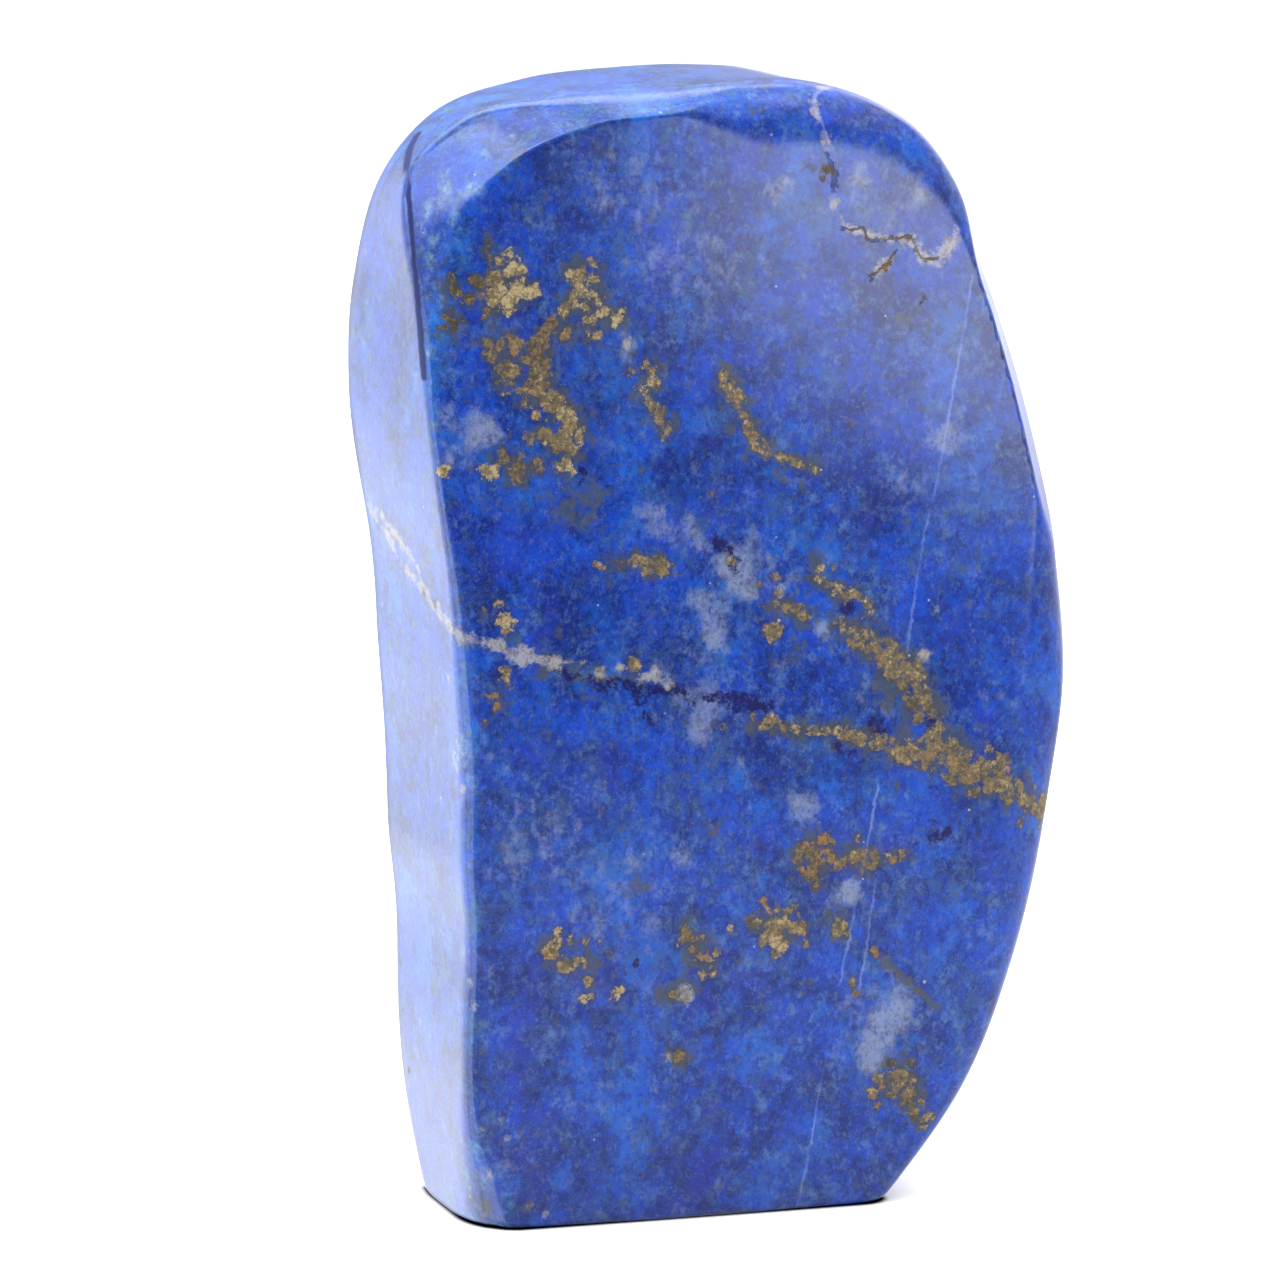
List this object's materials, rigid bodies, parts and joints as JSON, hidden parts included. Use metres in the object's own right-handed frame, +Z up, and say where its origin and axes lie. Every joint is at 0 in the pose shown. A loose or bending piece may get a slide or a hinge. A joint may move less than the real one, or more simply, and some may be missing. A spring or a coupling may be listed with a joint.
{
  "type": "polished lapis lazuli free-form",
  "caption": "Polished standing free-form of lapis lazuli, one solid stone with a small sawn foot, deep blue with gold pyrite veins and grains.",
  "frame": {"origin": "on the sawn foot, under the middle of the stone's bounding box", "axes": "+X to the stone's right as seen from its broad front, -Y out of the broad front, +Z up from the foot"},
  "size_m": [0.0738, 0.038, 0.1184],
  "materials": {
    "lapis": "polished"
  },
  "bodies": {
    "root": {"lapis_stone": "lapis"}
  },
  "joints": []
}
